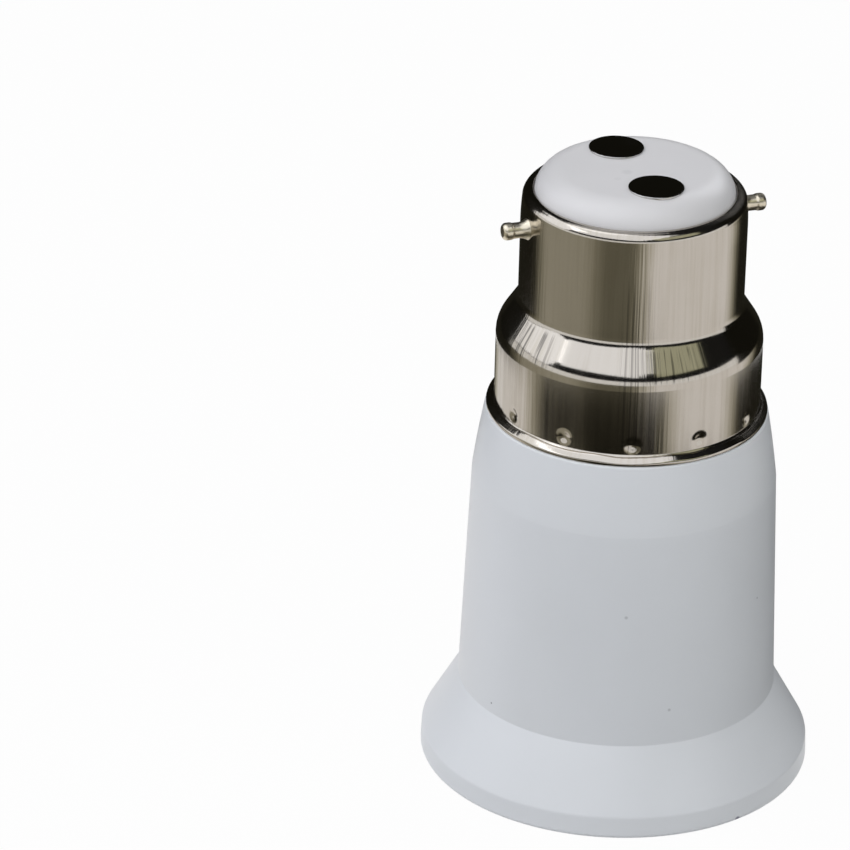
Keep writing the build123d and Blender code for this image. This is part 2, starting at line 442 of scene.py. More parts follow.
class Board:
    """The nodes of one material or of the world."""

    STREAK_ROUGHNESS = 0.6

    def __init__(self, tree: bpy.types.NodeTree) -> None:
        """Clears a node tree.

        Args:
            tree: The tree to wire.
        """
        self.tree = tree
        tree.nodes.clear()

    def add(self, kind: str, settings: dict, inputs: dict, output: int | str = 0) -> Signal | None:
        """Adds one node.

        Args:
            kind: Type of the node.
            settings: Its own settings, by name.
            inputs: Values or signals for its sockets, by name or number.
            output: Name or number of the output to give back.

        Returns:
            That output, or nothing where the node has none.
        """
        node = self.tree.nodes.new(kind)
        for key, value in settings.items():
            setattr(node, key, value)
        for key, value in inputs.items():
            if isinstance(value, Signal):
                self.tree.links.new(value.socket, node.inputs[key])
            else:
                node.inputs[key].default_value = value
        return Signal(self, node.outputs[output]) if len(node.outputs) else None

    def place(self, scale: Colour = (1.0, 1.0, 1.0)) -> Signal:
        """Gives the place on the piece.

        Args:
            scale: Factor along each axis.

        Returns:
            The scaled place, in metres times the scale.
        """
        at = self.add("ShaderNodeTexCoord", {}, {}, "Object")
        if scale == (1.0, 1.0, 1.0):
            return at
        return self.add("ShaderNodeMapping", {}, {"Vector": at, "Scale": scale})

    def noise(self, scale: Colour, detail: float = 3.0, roughness: float = 0.55) -> Signal:
        """Gives noise over the piece.

        Args:
            scale: Lumps to the metre along each axis.
            detail: Octaves.
            roughness: How strong the finer octaves are.

        Returns:
            Noise from 0 to 1, about 0.5 on average.
        """
        inputs = {"Vector": self.place(scale), "Scale": 1.0, "Detail": detail, "Roughness": roughness}
        return self.add("ShaderNodeTexNoise", {}, inputs)

    def height(self) -> Signal:
        """Gives the height on the piece in metres."""
        return self.add("ShaderNodeSeparateXYZ", {}, {0: self.place()}, "Z")

    def facing(self) -> Signal:
        """Gives the level direction from the axis, of length 1."""
        inputs = {0: self.place(), 1: (1.0, 1.0, 0.0)}
        level = self.add("ShaderNodeVectorMath", {"operation": "MULTIPLY"}, inputs)
        return self.add("ShaderNodeVectorMath", {"operation": "NORMALIZE"}, {0: level})

    def streaks(self, round_scale: float, up_scale: float, detail: float = 2.0) -> Signal:
        """Gives noise in streaks that run up a turned piece.

        Args:
            round_scale: Lumps to the radian round the axis.
            up_scale: Lumps to the metre along the axis.
            detail: Octaves.

        Returns:
            Noise from 0 to 1, about 0.5 on average.
        """
        inputs = {0: self.facing(), 1: (round_scale, round_scale, 0.0), 2: self.place((0.0, 0.0, up_scale))}
        at = self.add("ShaderNodeVectorMath", {"operation": "MULTIPLY_ADD"}, inputs)
        inputs = {"Vector": at, "Scale": 1.0, "Detail": detail, "Roughness": self.STREAK_ROUGHNESS}
        return self.add("ShaderNodeTexNoise", {}, inputs)

    def sector(self, angle: float, inner: float, outer: float) -> Signal:
        """Gives a soft sector of a turned piece.

        Args:
            angle: Its middle, in degrees from the X axis.
            inner: Half its full width, in degrees.
            outer: Where it has faded out, in degrees from its middle.

        Returns:
            1 inside, 0 outside.
        """
        middle = (math.cos(math.radians(angle)), math.sin(math.radians(angle)), 0.0)
        inputs = {0: self.facing(), 1: middle}
        along = self.add("ShaderNodeVectorMath", {"operation": "DOT_PRODUCT"}, inputs, "Value")
        return along.rise(math.cos(math.radians(outer)), math.cos(math.radians(inner)))

    def sectors(self, angles: tuple[float, ...], inner: float, outer: float) -> Signal:
        """Gives several soft sectors of a turned piece as one mask.

        Args:
            angles: Their middles, in degrees from the X axis.
            inner: Half the full width of each, in degrees.
            outer: Where each has faded out, in degrees from its middle.

        Returns:
            1 inside, 0 outside.
        """
        mask = self.sector(angles[0], inner, outer)
        for angle in angles[1:]:
            mask = mask.most(self.sector(angle, inner, outer))
        return mask

    def blend(self, share: "Signal | float", one: "Signal | Colour", other: "Signal | Colour") -> Signal:
        """Mixes two colours.

        Args:
            share: How much of the second colour.
            one: First colour.
            other: Second colour.

        Returns:
            The mixed colour.
        """
        inputs = {"Factor": share, 6: self._tint(one), 7: self._tint(other)}
        return self.add("ShaderNodeMix", {"data_type": "RGBA"}, inputs, 2)

    @staticmethod
    def _tint(colour: "Signal | Colour") -> "Signal | tuple":
        """Gives a colour as a socket takes it."""
        return colour if isinstance(colour, Signal) else (*colour, 1.0)

    def bump(self, height: Signal, depth: float) -> Signal:
        """Turns a height into a surface normal.

        Args:
            height: Height from 0 to 1.
            depth: Depth of the relief in millimetres.

        Returns:
            The normal.
        """
        inputs = {"Height": height, "Distance": depth * MM, "Strength": 1.0}
        return self.add("ShaderNodeBump", {}, inputs, "Normal")

    def near(self, spot: tuple[float, float, float]) -> Signal:
        """Gives the distance from a spot on the piece.

        Args:
            spot: Place in millimetres.

        Returns:
            The distance in metres.
        """
        inputs = {0: self.place(), 1: tuple(c * MM for c in spot)}
        return self.add("ShaderNodeVectorMath", {"operation": "DISTANCE"}, inputs, "Value")


def new_material(name: str) -> tuple[bpy.types.Material, Board]:
    """Gives a new material and its empty board."""
    made = bpy.data.materials.new(name)
    made.use_nodes = True
    return made, Board(made.node_tree)


@dataclass(frozen=True)
class Finish:
    """A finish: its name and its main colour."""

    name: str
    colour: Colour
    roughness: float = 0.35
    metallic: float = 0.0

    def material(self) -> bpy.types.Material:
        """Gives the finish's material, made once.

        Returns:
            The material.
        """
        title = f"{self.name}_finish"
        made = bpy.data.materials.get(title)
        if made is None:
            made, board = new_material(title)
            inputs = {"Base Color": (*self.colour, 1.0), "Roughness": self.roughness}
            inputs |= {"Metallic": self.metallic} | self.surface(board)
            shader = board.add("ShaderNodeBsdfPrincipled", {}, inputs)
            board.add("ShaderNodeOutputMaterial", {}, {"Surface": shader})
        return made

    def surface(self, board: Board) -> dict:
        """Gives what varies over the surface.

        Args:
            board: The board to wire.

        Returns:
            Signals by the name of the shader's socket.
        """
        return {}

    def shade(self, factor: float) -> Colour:
        """Gives the main colour made lighter or darker."""
        return tuple(channel * factor for channel in self.colour)


@dataclass(frozen=True)
class Speck:
    """A spot in a moulding: its place, its radius, how strong it is and its colour."""

    spot: tuple[float, float, float]
    radius: float
    strength: float
    colour: Colour = (0.1, 0.1, 0.11)


@dataclass(frozen=True)
class Moulding(Finish):
    """White thermoplastic: a faint mottle, a fine skin and a few specks."""

    specks: tuple[Speck, ...] = ()

    def surface(self, board: Board) -> dict:
        """Gives the mottle, the specks and the skin of the moulding."""
        mottle = board.noise((90.0, 90.0, 60.0), 2.0)
        skin = board.noise((1600.0, 1600.0, 1600.0), 2.0)
        colour = board.blend(mottle.rise(0.3, 0.75), self.shade(0.975), self.colour)
        for speck in self.specks:
            mark = 1 - board.near(speck.spot).rise(0.35 * speck.radius * MM, speck.radius * MM)
            colour = board.blend(mark * speck.strength, colour, speck.colour)
        return {
            "Base Color": colour,
            "Roughness": self.roughness + (skin - 0.5) * 0.06 + (mottle - 0.5) * 0.06,
            "Normal": board.bump(skin, 0.0003),
        }


@dataclass(frozen=True)
class DrawnNickel(Finish):
    """Nickel plate over drawn sheet: fine streaks along the draw and a thin tarnish."""

    tarnish: Colour = (0.33, 0.29, 0.2)
    relief: float = 0.034
    scored: tuple[float, ...] = (-105.0, -168.0, 20.0, 150.0)
    scratched: tuple[float, ...] = (-162.0, -92.0, 35.0, 110.0)
    shoulder: tuple[float, float] = (46.2, 49.5)
    lined: float = -107.0
    sector: tuple[float, float] = (6.0, 16.0)
    lined_sector: tuple[float, float] = (4.0, 10.0)
    lined_foot: tuple[float, float] = (39.0, 39.8)
    lined_top: tuple[float, float] = (53.0, 57.5)
    shoulder_fades: tuple[float, float] = (0.5, 0.6)

    def surface(self, board: Board) -> dict:
        """Gives the draw streaks, deeper in a few scored sectors, and the tarnish."""
        fine = board.streaks(26.0, 60.0)
        broad = board.streaks(7.0, 25.0)
        cloud = board.noise((120.0, 120.0, 90.0), 3.0)
        score = board.sectors(self.scored, *self.sector)
        streak = fine * 0.75 + broad * 0.25
        worn = (cloud * 0.5 + streak * 0.5).rise(0.42, 0.72)
        metal = board.blend(worn * 0.3, self.colour, self.tarnish)
        return {
            "Base Color": board.blend(self._scratches(board) * 0.75, metal, self.shade(0.2)),
            "Roughness": self.roughness + streak * 0.06 + worn * 0.04,
            "Normal": board.bump(streak * (0.3 + score * 0.7), self.relief),
        }

    def _scratches(self, board: Board) -> Signal:
        """Gives the dark scratches across the shoulder and the lines up one sector.

        Args:
            board: The board to wire.

        Returns:
            1 in a scratch, 0 elsewhere.
        """
        low, high = self.shoulder
        low_fade, high_fade = self.shoulder_fades
        shoulder = self._band(board, (low, low + low_fade), (high - high_fade, high))
        patches = board.sectors(self.scratched, *self.sector)
        scratches = board.streaks(34.0, 90.0).rise(0.52, 0.66) * shoulder * patches
        drawn = self._band(board, self.lined_foot, self.lined_top)
        stripe = board.sector(self.lined, *self.lined_sector)
        lines = board.streaks(46.0, 16.0).rise(0.5, 0.64) * stripe * drawn
        return scratches.most(lines * 0.7)

    @staticmethod
    def _band(board: Board, foot: tuple[float, float], top: tuple[float, float]) -> Signal:
        """Gives a soft band round the piece.

        Args:
            board: The board to wire.
            foot: Where it starts and where it is full, in millimetres.
            top: Where it starts to fade and where it ends, in millimetres.

        Returns:
            1 inside, 0 outside.
        """
        height = board.height()
        return height.rise(foot[0] * MM, foot[1] * MM) * (1 - height.rise(top[0] * MM, top[1] * MM))


@dataclass(frozen=True)
class BrightNickel(Finish):
    """Bright nickel plate on small parts: a slightly uneven skin."""

    relief: float = 0.01

    def surface(self, board: Board) -> dict:
        """Gives the uneven skin and its dull spots."""
        lumps = board.noise((900.0, 900.0, 900.0), 3.0)
        dull = board.noise((350.0, 350.0, 350.0), 2.0).rise(0.5, 0.75)
        return {
            "Base Color": board.blend(dull * 0.4, self.colour, self.shade(0.75)),
            "Roughness": self.roughness + dull * 0.05,
            "Normal": board.bump(lumps, self.relief),
        }


@dataclass(frozen=True)
class RolledBrass(Finish):
    """Bright brass sheet: streaks round the axis and a warm tarnish."""

    tarnish: Colour = (0.5, 0.24, 0.05)

    def surface(self, board: Board) -> dict:
        """Gives the rolling marks and the tarnish."""
        marks = board.noise((60.0, 60.0, 2400.0), 3.0, 0.65)
        cloud = board.noise((160.0, 160.0, 160.0), 3.0)
        worn = (marks * 0.4 + cloud * 0.6).rise(0.45, 0.75)
        return {
            "Base Color": board.blend(worn * 0.5, self.colour, self.tarnish),
            "Roughness": self.roughness + (marks - 0.5) * 0.16 + worn * 0.06,
            "Normal": board.bump(marks, 0.008),
        }


@dataclass(frozen=True)
class Sleeve(Finish):
    """Dull sleeve of an insulated wire: a faint mottle along its length."""

    def surface(self, board: Board) -> dict:
        """Gives the mottle of the sleeve."""
        mottle = board.noise((800.0, 800.0, 120.0), 2.0)
        return {
            "Base Color": board.blend(mottle, self.shade(0.88), self.colour),
            "Roughness": self.roughness + (mottle - 0.5) * 0.1,
        }


HOUSING_SPECKS = (
    Speck((-14.94, -5.02, 9.51), 0.14, 0.8),
    Speck((-4.75, -14.56, 22.44), 0.24, 0.3),
    Speck((10.09, -11.6, 20.94), 0.16, 0.45),
    Speck((-0.28, -15.67, 12.15), 0.22, 0.3),
    Speck((6.43, -18.3, 0.2), 0.42, 0.85, (0.05, 0.045, 0.12)),
)
PLATE_SPECKS = (
    Speck((-1.15, -0.64, 63.3), 0.7, 0.16, (0.35, 0.35, 0.36)),
    Speck((-2.6, -1.9, 63.3), 0.5, 0.1, (0.4, 0.4, 0.41)),
)

HOUSING_WHITE = Moulding("housing_white", (0.735, 0.753, 0.77), 0.34, 0.0, HOUSING_SPECKS)
PLATE_WHITE = Moulding("plate_white", (0.71, 0.7, 0.7), 0.36, 0.0, PLATE_SPECKS)
CAP_NICKEL = DrawnNickel("cap_nickel", (0.54, 0.505, 0.455), 0.09, 1.0)
PIN_NICKEL = BrightNickel("pin_nickel", (0.74, 0.68, 0.55), 0.3, 1.0)
CONTACT_NICKEL = BrightNickel("contact_nickel", (0.55, 0.54, 0.53), 0.05, 1.0, 0.004)
RIVET_NICKEL = BrightNickel("rivet_nickel", (0.74, 0.71, 0.64), 0.22, 1.0)
SCREW_BRASS = RolledBrass("screw_brass", (0.86, 0.58, 0.18), 0.2, 1.0)
LEAF_BRASS = RolledBrass("leaf_brass", (0.8, 0.57, 0.24), 0.26, 1.0)
TAG_BRASS = RolledBrass("tag_brass", (0.7, 0.56, 0.32), 0.34, 1.0)
LEAD_SLEEVE = Sleeve("lead_sleeve", (0.7, 0.68, 0.62), 0.55)


@dataclass
class Housing:
    """The white moulding: flared skirt, tapered barrel, domed shoulder and the neck inside the cap."""

    lip_width: float = 1.9
    lip_height: float = 2.3
    lip_draft: float = 0.1
    flare_height: float = 8.46
    body_radius: float = 15.8
    dome_radius: float = 14.995
    dome_height: float = 7.1
    dome_bulge: float = 0.06
    dome_crease: float = 0.2
    ledge_radius: float = 13.87
    neck_radius: float = 12.2
    funnel_depth: float = 8.0
    bore_radius: float = 14.15
    plain_radius: float = 12.75
    step_height: float = 22.3
    chamber_width: float = 8.0
    chamber_length: float = 20.0
    chamber_floor: float = 32.4
    chamber_margin: float = 0.8
    neck_round: float = 0.2
    ledge_round: float = 0.25
    flare_round: float = 0.16
    lip_round: float = 0.7
    rim_round: float = 0.45
    funnel_round: float = 0.6
    bore_round: float = 0.2
    step_round: float = 0.15
    turns: int = 288

    def build(self) -> bpy.types.Object:
        """Turns the moulding and opens its wire chamber.

        Returns:
            The piece.
        """
        rim_radius, foot, neck_top = node_span("housing")
        ledge = node_span("bayonet_cap_shell")[1]
        partition = node_span("screw_shell")[2]
        opening = self.chamber_length / 2 + self.chamber_margin
        outline = Outline(closed=False)
        outline.to(opening, neck_top)
        outline.to(self.neck_radius, neck_top, self.neck_round)
        outline.to(self.neck_radius, ledge, self.neck_round)
        outline.to(self.ledge_radius, ledge, self.ledge_round)
        outline.bow_to(self.dome_radius, ledge - self.dome_height, self.dome_bulge, self.dome_crease)
        outline.to(self.body_radius, self.flare_height, self.flare_round)
        outline.to(rim_radius - self.lip_draft, self.lip_height, self.lip_round)
        outline.to(rim_radius, foot, self.rim_round)
        outline.to(rim_radius - self.lip_width, foot, self.rim_round)
        outline.to(self.bore_radius, self.funnel_depth, self.funnel_round)
        outline.to(self.bore_radius, self.step_height, self.bore_round)
        outline.to(self.plain_radius, self.step_height, self.step_round)
        outline.to(self.plain_radius, partition, self.bore_round)
        outline.to(0, partition)
        form = Turned(outline, self.turns)
        form.pocket(opening, self.chamber_width, self.chamber_length, neck_top, self.chamber_floor)
        return make_piece("housing_moulding", form.mesh, HOUSING_WHITE, "housing", "housing")


@dataclass
class CapShell:
    """The drawn bayonet cap: foot flange, staked collar, shoulder, barrel and turned-in rim."""

    sheet: float = 0.4
    flange_lip: float = 0.9
    flange_bevel: float = 0.5
    flange_round: float = 0.3
    flange_sway: float = 0.2
    collar_radius: float = 13.05
    collar_height: float = 8.6
    collar_round: float = 3.0
    barrel_radius: float = 11.0
    shoulder_height: float = 3.1
    foot_round: float = 1.6
    rim_height: float = 3.4
    rim_lean: float = 0.11
    rim_round: float = 1.0
    rim_turn: float = 1.15
    stakes: int = 12
    stake_turn: float = math.radians(12)
    stake_height: float = 1.9
    stake_radius: float = 1.0
    stake_depth: float = 0.22
    crimp_gap: float = 0.05
    crimp_mean: float = 0.5
    crimp_even: float = 0.3
    crimp_uneven: float = 0.2
    bore_edge: float = 0.1
    flange_edge: float = 0.12
    collar_root: float = 0.08
    rim_inside: float = 0.3
    first_row: int = 8
    last_row: int = 3
    row: float = 0.14
    turns: int = 540

    def build(self) -> bpy.types.Object:
        """Turns the shell and presses the stakes into its collar.

        Returns:
            The piece.
        """
        flange_radius, foot, top = node_span("bayonet_cap_shell")
        collar_top = foot + self.collar_height
        barrel_foot = collar_top + self.shoulder_height
        bore = self.collar_radius - self.sheet
        barrel_bore = self.barrel_radius - self.sheet
        staked_top = foot + self.stake_height + self.stake_radius + self.row
        outline = Outline()
        outline.to(bore, foot, self.bore_edge)
        outline.to(flange_radius, foot, self.flange_edge)
        outline.to(flange_radius, foot + self.flange_lip - self.flange_bevel, self.flange_round)
        outline.to(flange_radius - self.flange_bevel, foot + self.flange_lip, self.flange_round)
        outline.to(self.collar_radius, foot + self.flange_lip, self.collar_root)
        rows = round((self.stake_height + self.stake_radius) / self.row)
        for row in range(self.first_row, rows + 1):
            outline.to(self.collar_radius, foot + row * self.row)
        outline.to(self.collar_radius, staked_top)
        outline.to(self.collar_radius, collar_top, self.collar_round)
        outline.to(self.barrel_radius, barrel_foot, self.foot_round)
        outline.to(self.barrel_radius, top - self.rim_height)
        outline.bow_to(self.barrel_radius - self.rim_lean, top - self.rim_round, -self.rim_lean / 4)
        outline.to(self.barrel_radius - self.rim_lean, top, self.rim_round)
        outline.to(self.barrel_radius - self.rim_turn, top)
        outline.to(self.barrel_radius - self.rim_turn, top - self.sheet)
        outline.to(barrel_bore, top - self.rim_round, self.rim_inside)
        outline.to(barrel_bore, barrel_foot - self.sheet / 2, self.foot_round)
        outline.to(bore, collar_top - self.sheet / 2, self.collar_round)
        outline.to(bore, staked_top)
        for row in range(rows, self.last_row - 1, -1):
            outline.to(bore, foot + row * self.row)
        form = Turned(outline, self.turns)
        self._stake(form.mesh, foot + self.stake_height)
        self._crimp(form.mesh, foot)
        form.clean()
        return make_piece("cap_shell_sheet", form.mesh, CAP_NICKEL, "cap_nickel", "bayonet_cap_shell")

    def _stake(self, mesh: bmesh.types.BMesh, height: float) -> None:
        """Presses the ring of stakes into both faces of the sheet.

        Args:
            mesh: The turned shell.
            height: Height of the ring.
        """
        pitch = math.tau / self.stakes
        for vert in mesh.verts:
            radius = math.hypot(vert.co.x, vert.co.y) / MM
            rise = vert.co.z / MM - height
            if abs(rise) > self.stake_radius or radius < self.collar_radius - 2 * self.sheet:
                continue
            turn = math.atan2(vert.co.y, vert.co.x) - self.stake_turn
            aside = (turn - pitch * round(turn / pitch)) * self.collar_radius
            share = 1 - min(math.hypot(aside, rise) / self.stake_radius, 1.0) ** 2
            push_out(vert, -self.stake_depth * share**3)

    def _crimp(self, mesh: bmesh.types.BMesh, foot: float) -> None:
        """Lowers the flange's edge below each stake and makes it slightly uneven.

        Args:
            mesh: The turned shell.
            foot: Height of the flange's underside.
        """
        for vert in mesh.verts:
            rise = vert.co.z / MM - foot
            radius = math.hypot(vert.co.x, vert.co.y) / MM
            if radius < self.collar_radius + self.crimp_gap or rise < self.bore_edge:
                continue
            turn = math.atan2(vert.co.y, vert.co.x) - self.stake_turn
            even = self.crimp_even * math.cos(self.stakes * turn)
            uneven = self.crimp_uneven * math.sin(5 * turn) * math.cos(17 * turn)
            sway = self.crimp_mean + even + uneven
            vert.co.z -= self.flange_sway * sway * min(rise / self.flange_lip, 1.0) * MM


class Side(Enum):
    """The sides that a paired piece stands on, as its name and the sign of its axis."""

    LEFT = ("left", -1)
    RIGHT = ("right", 1)
    FRONT = ("front", -1)
    REAR = ("rear", 1)

    @property
    def label(self) -> str:
        """Gives the side's name."""
        return self.value[0]

    @property
    def sign(self) -> int:
        """Gives the sign of the side's axis."""
        return self.value[1]


@dataclass
class BayonetPins:
    """Two pins riveted in the barrel: a head inside, a shank with a soft root and a round end."""

    head_radius: float = 1.5
    head_thickness: float = 0.4
    shank_radius: float = 0.84
    ball_radius: float = 0.86
    neck_radius: float = 0.78
    barrel_radius: float = 11.0
    root_radius: float = 1.12
    root_foot: float = 0.4
    root_start: float = 0.3
    root_end: float = 0.1
    root_reach: float = 1.1
    root_bulge: float = 0.12
    root_steps: int = 8
    head_round: float = 0.1
    fillet: float = 0.05
    neck_end: float = 0.2
    neck_round: float = 0.6
    ball_round: float = 0.4
    turns: int = 60

    def build(self) -> list[bpy.types.Object]:
        """Turns both pins.

        Returns:
            The pieces.
        """
        made = []
        for side in (Side.LEFT, Side.RIGHT):
            node = f"bayonet_pin_{side.label}"
            low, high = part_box(node)
            height = (low.z + high.z) / 2 / MM
            inner, tip = sorted((abs(low.x) / MM, abs(high.x) / MM))
            ball = tip - self.ball_radius
            outline = Outline(closed=False)
            outline.to(0, inner)
            outline.to(self.head_radius, inner, self.head_round)
            outline.to(self.head_radius, inner + self.head_thickness, self.fillet)
            outline.to(self.shank_radius, inner + self.head_thickness, self.fillet)
            outline.to(self.shank_radius, self.barrel_radius - self.root_foot)
            outline.to(self.root_radius, self.barrel_radius - self.root_start)
            outline.to(self.root_radius, self.barrel_radius - self.root_end)
            root = self.barrel_radius + self.root_reach
            outline.bow_to(self.neck_radius, root, self.root_bulge, 0, self.root_steps)
            outline.to(self.neck_radius, ball - self.neck_end, self.neck_round)
            outline.to(self.ball_radius, ball, self.ball_round)
            outline.to(self.ball_radius, tip, self.ball_radius)
            outline.to(0, tip)
            form = Turned(outline, self.turns)
            level = Matrix.Rotation(side.sign * math.pi / 2, 4, "Y")
            form.place(Matrix.Translation((0, 0, height * MM)) @ level)
            made.append(make_piece(f"pin_{side.label}", form.mesh, PIN_NICKEL, "pin_nickel", node))
        return made


@dataclass
class ContactPlug:
    """The pale insulator under the turned-in rim, with its two flat contacts."""

    plug_radius: float = 10.5
    plate_radius: float = 9.75
    plate_round: float = 2.6
    rim_underside: float = 60.7
    shoulder_drop: float = 0.2
    shoulder_foot: float = 0.9
    wireway_width: float = 8.0
    wireway_length: float = 13.6
    wireway_top: float = 58.3
    wireway_margin: float = 0.4
    contact_offset: float = 5.0
    contact_radius: float = 2.7
    contact_round: float = 0.12
    contact_dome: float = 0.05
    contact_turn: float = math.radians(2.4)
    contact_sink: float = 0.1
    contact_lip: float = 0.03
    contact_steps: int = 14
    shank_radius: float = 1.3
    shank_round: float = 0.15
    fillet: float = 0.05
    shoulder_round: float = 0.1
    foot_round: float = 0.2
    contact_turns: int = 96
    turns: int = 192

    def build(self) -> list[bpy.types.Object]:
        """Turns the plug and both contacts.

        Returns:
            The pieces.
        """
        return [self._plug(), self._contact(Side.FRONT), self._contact(Side.REAR)]

    def _plug(self) -> bpy.types.Object:
        """Turns the plug and opens the way for its wires.

        Returns:
            The piece.
        """
        _, foot, top = node_span("contact_insulator")
        opening = math.hypot(self.wireway_width, self.wireway_length) / 2 + self.wireway_margin
        outline = Outline(closed=False)
        outline.to(0, top)
        outline.to(self.plate_radius, top, self.plate_round)
        outline.to(self.plate_radius, self.rim_underside - self.shoulder_drop)
        outline.to(self.plug_radius, self.rim_underside - self.shoulder_foot, self.shoulder_round)
        outline.to(self.plug_radius, foot, self.foot_round)
        outline.to(opening, foot)
        form = Turned(outline, self.turns)
        form.pocket(opening, self.wireway_width, self.wireway_length, foot, self.wireway_top)
        return make_piece("insulator_plug", form.mesh, PLATE_WHITE, "insulator", "contact_insulator")

    def _contact(self, side: Side) -> bpy.types.Object:
        """Turns one contact.

        Args:
            side: Which end of the Y axis it is on.

        Returns:
            The piece.
        """
        node = f"contact_plate_{side.label}"
        _, foot, top = node_span(node)
        plate_top = node_span("contact_insulator")[2]
        edge = self.contact_radius - self.contact_round
        outline = Outline(closed=False)
        outline.to(0, foot)
        outline.to(self.shank_radius, foot, self.shank_round)
        outline.to(self.shank_radius, plate_top - self.contact_sink, self.fillet)
        outline.to(self.contact_radius, plate_top - self.contact_sink, self.fillet)
        outline.to(self.contact_radius, top - self.contact_dome - self.contact_lip, self.contact_round)
        outline.to(edge, top - self.contact_dome, self.fillet)
        outline.bow_to(0, top, -self.contact_dome / 4, 0, self.contact_steps)
        form = Turned(outline, self.contact_turns)
        form.place(Matrix.Translation((0, side.sign * self.contact_offset * MM, 0)))
        form.place(Matrix.Rotation(self.contact_turn, 4, "Z"))
        return make_piece(f"contact_{side.label}", form.mesh, CONTACT_NICKEL, "contact_nickel", node)


@dataclass
class ScrewShell:
    """The brass screw shell: a flared mouth, a rolled right-hand thread and a plain end with a cut-out."""

    sheet: float = 0.4
    pitch: float = 3.629
    arc_radius: float = 1.025
    root_radius: float = 13.3
    crest_radius: float = 12.25
    mouth_radius: float = 13.62
    mouth_height: float = 1.5
    thread_end: float = 11.9
    fade: float = 1.1
    base_round: float = 0.8
    cutout_width: float = 6.6
    cutout_length: float = 11.0
    cutout_margin: float = 0.3
    thread_start: float = 0.35
    mouth_edge: float = 0.2
    wall_gap: float = 0.01
    turns: int = 288
    row: float = 0.13

    def build(self) -> bpy.types.Object:
        """Turns the cup, opens its base and rolls its thread.

        Returns:
            The piece.
        """
        _, mouth, top = node_span("screw_shell")
        base = top - self.sheet
        opening = math.hypot(self.cutout_width, self.cutout_length) / 2 + self.cutout_margin
        rolled = mouth + self.thread_end + self.fade
        rows = round((rolled - mouth) / self.row)
        outline = Outline(closed=False)
        outline.to(opening, base)
        outline.to(self.crest_radius, base, self.base_round)
        for row in range(rows, -1, -1):
            outline.to(self.crest_radius, mouth + row * self.row)
        for row in range(0, rows + 1, 2):
            outline.to(self.crest_radius + self.sheet, mouth + row * self.row)
        outline.to(self.crest_radius + self.sheet, top, self.base_round + self.sheet)
        outline.to(opening, top)
        form = Turned(outline, self.turns)
        inside = form.window(self.cutout_width, self.cutout_length, base)
        outside = form.window(self.cutout_width, self.cutout_length, top)
        form.bridge(form.circle(opening, base), inside)
        form.bridge(form.circle(opening, top), outside)
        form.bridge(inside, outside)
        self._roll(form.mesh, mouth)
        form.clean()
        return make_piece("screw_shell_brass", form.mesh, SCREW_BRASS, "screw_brass", "screw_shell")

    def _wave(self, along: float) -> float:
        """Gives the thread's depth below its crest.

        Args:
            along: Place along the pitch, from crest to crest as 0 to 1.

        Returns:
            The depth as a share of the whole depth, on two arcs that meet half way down.
        """
        half = self.pitch / 2
        place = min(along, 1 - along) * self.pitch
        full = 2 * (self.arc_radius - math.sqrt(self.arc_radius**2 - (half / 2) ** 2))
        if place < half / 2:
            return (self.arc_radius - math.sqrt(self.arc_radius**2 - place**2)) / full
        return 1 - (self.arc_radius - math.sqrt(self.arc_radius**2 - (half - place) ** 2)) / full

    def _roll(self, mesh: bmesh.types.BMesh, mouth: float) -> None:
        """Rolls the thread into both faces of the sheet and flares the mouth.

        Args:
            mesh: The turned cup.
            mouth: Height of its mouth.
        """
        depth = self.root_radius - self.crest_radius
        for vert in mesh.verts:
            radius = math.hypot(vert.co.x, vert.co.y) / MM
            above = vert.co.z / MM - mouth
            if above > self.thread_end + self.fade or radius < self.crest_radius - self.wall_gap:
                continue
            turn = math.atan2(vert.co.y, vert.co.x) / math.tau
            swell = depth * self._wave((above / self.pitch - turn + self.thread_start) % 1.0)
            ending = smooth_step(self.thread_end - self.fade, self.thread_end + self.fade, above)
            starting = 1 - smooth_step(self.mouth_edge, self.mouth_height + self.fade, above)
            swell *= 1 - ending
            swell += (self.mouth_radius - self.crest_radius - swell) * starting
            push_out(vert, swell)


